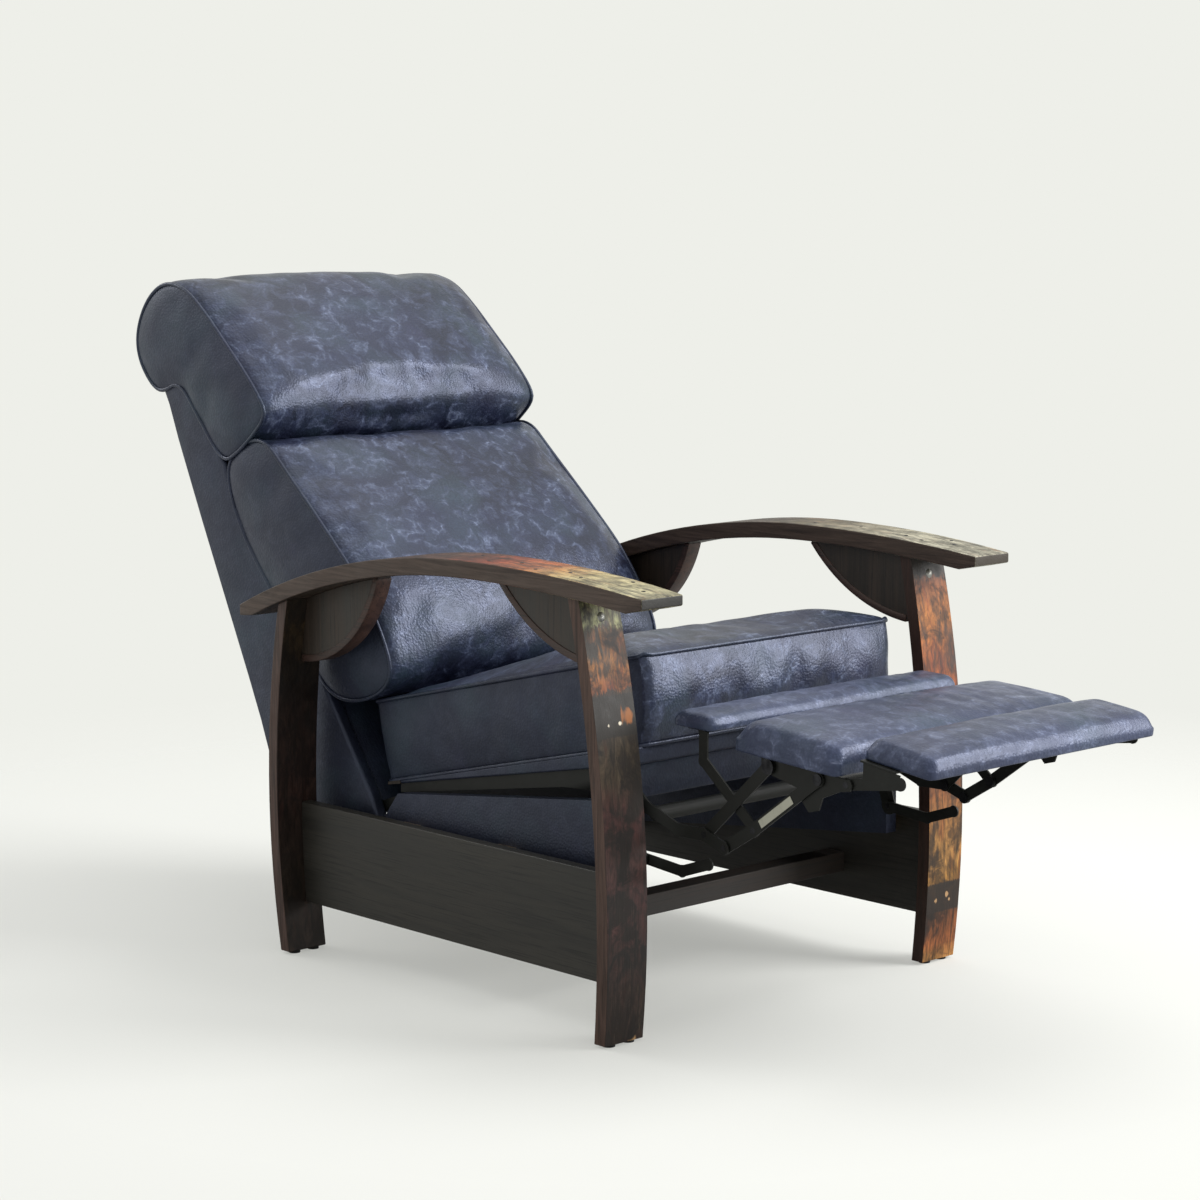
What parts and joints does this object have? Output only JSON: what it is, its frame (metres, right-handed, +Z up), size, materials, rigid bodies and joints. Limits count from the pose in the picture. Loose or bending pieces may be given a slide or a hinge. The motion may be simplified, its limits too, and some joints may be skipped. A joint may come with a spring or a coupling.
{
  "type": "recliner",
  "caption": "Push-back recliner with bent-stave wooden arms and legs, leather seat, back and roll headrest, and a fold-out three-panel footrest.",
  "frame": {"origin": "on the floor, at the middle of the opened chair's bounding box", "axes": "+Z up, -Y the way the sitter faces, +X to the sitter's left"},
  "size_m": [0.788, 1.7052, 1.0498],
  "materials": {
    "stave_wood": "dark oak barrel staves with an amber and black weathered face, waxed",
    "panel_wood": "near-black stained oak, satin",
    "frame_wood": "unfinished plywood and softwood",
    "covered_wood": "wooden rail covered in smooth navy leather",
    "cushion_leather": "navy pull-up leather with a pebble grain over soft foam, semi-gloss",
    "black_steel": "black enamel, semi-gloss",
    "bright_steel": "dulled zinc plate",
    "glide_plastic": "black nylon",
    "webbing": "black elastic webbing"
  },
  "bodies": {
    "base": {"front_leg_right": "stave_wood", "front_leg_left": "stave_wood", "rear_leg_right": "stave_wood", "rear_leg_left": "stave_wood", "arm_right": "stave_wood", "arm_left": "stave_wood", "front_corbel_right": "panel_wood", "front_corbel_left": "panel_wood", "rear_corbel_right": "panel_wood", "rear_corbel_left": "panel_wood", "side_panel_right": "panel_wood", "side_panel_left": "panel_wood", "front_stretcher": "panel_wood", "rear_stretcher": "panel_wood", "box_rail_right": "covered_wood", "box_rail_left": "covered_wood", "box_spacers": "panel_wood", "leg_bolts": "bright_steel", "foot_glides": "glide_plastic", "base_studs": "bright_steel"},
    "seat": {"seat_front_rail": "covered_wood", "seat_side_rails": "covered_wood", "seat_rear_rail": "frame_wood", "seat_front_panel": "covered_wood", "seat_rear_panel": "frame_wood", "seat_springs": "bright_steel", "seat_cushion": "cushion_leather", "seat_plate_right": "black_steel", "seat_plate_left": "black_steel", "seat_studs": "bright_steel"},
    "back": {"back_stiles": "frame_wood", "back_rails": "frame_wood", "back_webbing": "webbing", "back_side_panels": "covered_wood", "back_rear_panel": "covered_wood", "back_lining": "covered_wood", "back_brackets": "black_steel", "lumbar_cushion": "cushion_leather", "headrest": "cushion_leather"},
    "tilt": {"tilt_links": "black_steel"},
    "swing": {"swing_link_right": "black_steel", "swing_link_left": "black_steel", "torque_tube": "black_steel", "swing_rivets": "bright_steel"},
    "carry": {"carry_links": "black_steel", "carry_rivets": "bright_steel"},
    "guide": {"guide_links": "black_steel"},
    "prop": {"prop_links": "black_steel"},
    "small_panel": {"small_board": "frame_wood", "small_pad": "cushion_leather", "small_brackets": "black_steel"},
    "main_panel": {"main_board": "frame_wood", "main_pad": "cushion_leather", "main_brackets": "black_steel", "main_rivets": "bright_steel", "board_screws": "bright_steel"},
    "flipper_panel": {"flipper_board": "frame_wood", "flipper_pad": "cushion_leather", "flipper_brackets": "black_steel"}
  },
  "joints": [
    {"name": "seat_tilt", "type": "hinge", "parent": "base", "child": "seat", "pos_m": [0, 0.1775, 0.235], "axis": [1, 0, 0], "range_deg": [0, 4]},
    {"name": "back_upright", "type": "hinge", "parent": "seat", "child": "back", "pos_m": [0, 0.1625, 0.268], "axis": [1, 0, 0], "range_deg": [0, 12]},
    {"name": "tilt_link_swing", "type": "hinge", "parent": "base", "child": "tilt", "pos_m": [0, -0.2275, 0.2695], "axis": [1, 0, 0], "range_deg": [0, 29]},
    {"name": "footrest_fold", "type": "hinge", "parent": "seat", "child": "swing", "pos_m": [0, -0.3075, 0.355], "axis": [1, 0, 0], "range_deg": [0, 127.2]},
    {"name": "carry_fold", "type": "hinge", "parent": "swing", "child": "carry", "pos_m": [0, -0.4955, 0.289], "axis": [1, 0, 0], "range_deg": [-73.3, 0]},
    {"name": "guide_fold", "type": "hinge", "parent": "swing", "child": "guide", "pos_m": [0, -0.4575, 0.302], "axis": [1, 0, 0], "range_deg": [-83.6, 0]},
    {"name": "prop_fold", "type": "hinge", "parent": "seat", "child": "prop", "pos_m": [0, -0.3375, 0.251], "axis": [1, 0, 0], "range_deg": [0, 152.64]},
    {"name": "small_panel_fold", "type": "hinge", "parent": "carry", "child": "small_panel", "pos_m": [0, -0.5485, 0.321], "axis": [1, 0, 0], "range_deg": [0, 35.6]},
    {"name": "main_panel_fold", "type": "hinge", "parent": "carry", "child": "main_panel", "pos_m": [0, -0.6695, 0.409], "axis": [1, 0, 0], "range_deg": [0, 34.1]},
    {"name": "flipper_fold", "type": "hinge", "parent": "main_panel", "child": "flipper_panel", "pos_m": [0, -0.7155, 0.408], "axis": [1, 0, 0], "range_deg": [0, 174]}
  ],
  "couplings": [
    {"joint": "back_upright", "follows": "seat_tilt", "ratio": 3},
    {"joint": "tilt_link_swing", "follows": "seat_tilt", "ratio": 7.25},
    {"joint": "carry_fold", "follows": "footrest_fold", "ratio": -0.57626},
    {"joint": "guide_fold", "follows": "footrest_fold", "ratio": -0.65723},
    {"joint": "prop_fold", "follows": "footrest_fold", "ratio": 1.2},
    {"joint": "small_panel_fold", "follows": "footrest_fold", "ratio": 0.27987},
    {"joint": "main_panel_fold", "follows": "footrest_fold", "ratio": 0.26808},
    {"joint": "flipper_fold", "follows": "footrest_fold", "ratio": 1.3679}
  ]
}
